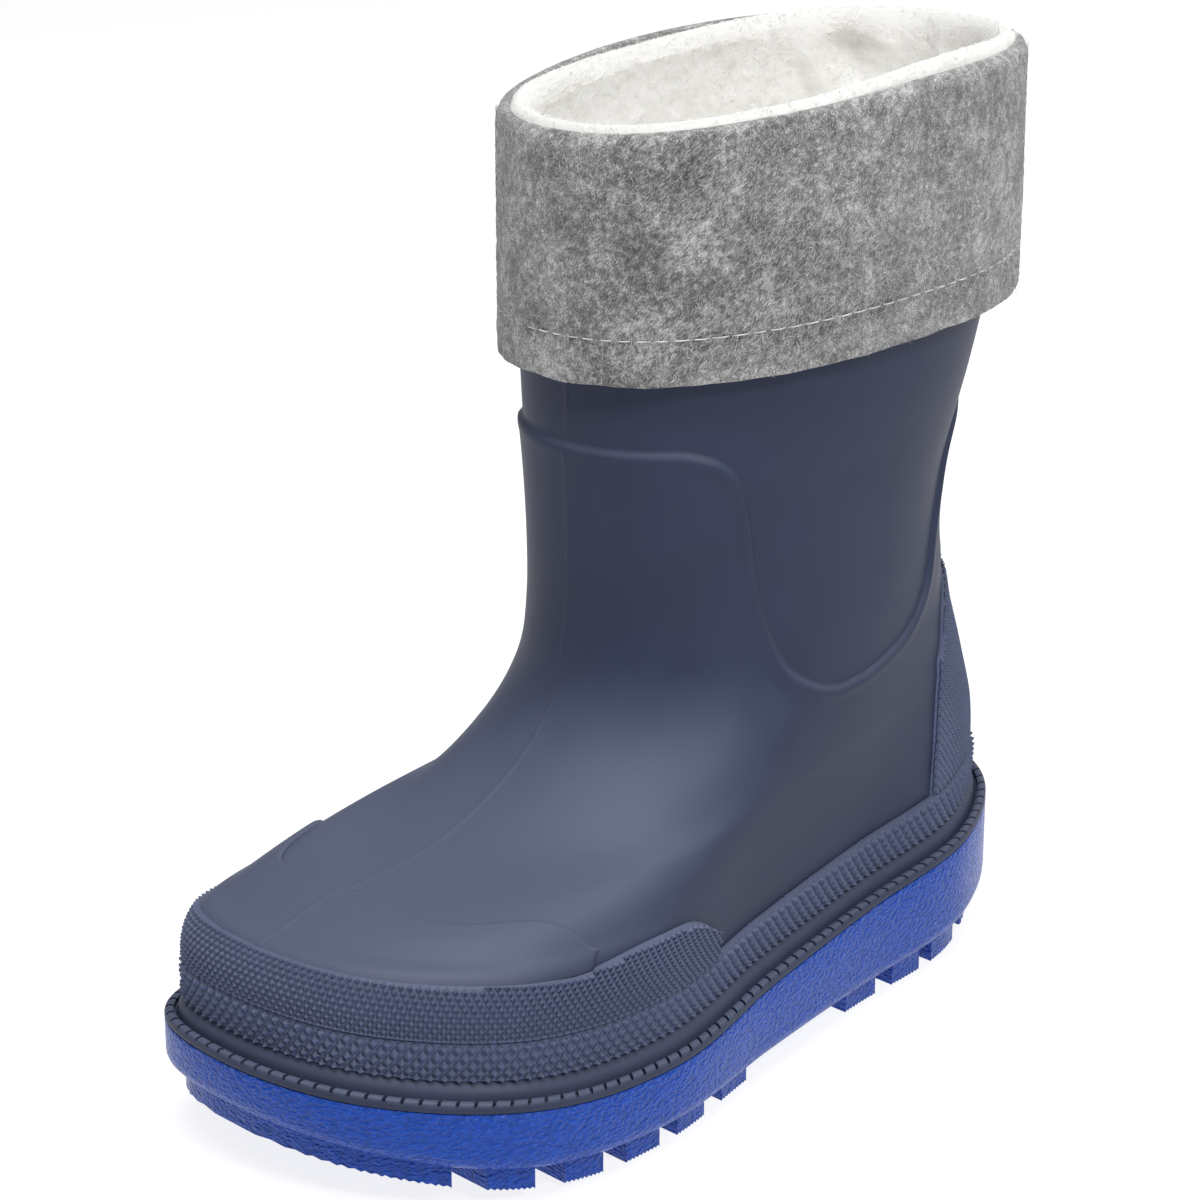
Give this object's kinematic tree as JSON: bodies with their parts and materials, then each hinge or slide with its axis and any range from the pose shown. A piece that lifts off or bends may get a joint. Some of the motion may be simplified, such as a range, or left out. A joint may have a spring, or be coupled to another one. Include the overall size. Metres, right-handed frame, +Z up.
{
  "type": "lined rubber boot",
  "caption": "Child's moulded rubber boot with a lugged sole, textured rand and toe, a folded felt cuff and a hollow fleece-lined shaft.",
  "frame": {"origin": "centre of the boot's bounding box on the plane its lugs stand on", "axes": "+Z up, toe towards -Y and heel towards +Y, +X towards the wearer's left, the outer side of this left boot"},
  "size_m": [0.0902, 0.2, 0.19],
  "materials": {
    "blue_rubber": "satin",
    "navy_rubber": "satin",
    "navy_textured": "satin",
    "grey_felt": "matte",
    "pale_fleece": "matte"
  },
  "bodies": {
    "root": {"outsole": "blue_rubber", "welt": "navy_rubber", "upper": "navy_rubber", "rand": "navy_textured", "toe_bumper": "navy_textured", "toe_cap": "navy_rubber", "heel_counter": "navy_textured", "insole": "pale_fleece", "cuff": "grey_felt"}
  },
  "joints": []
}
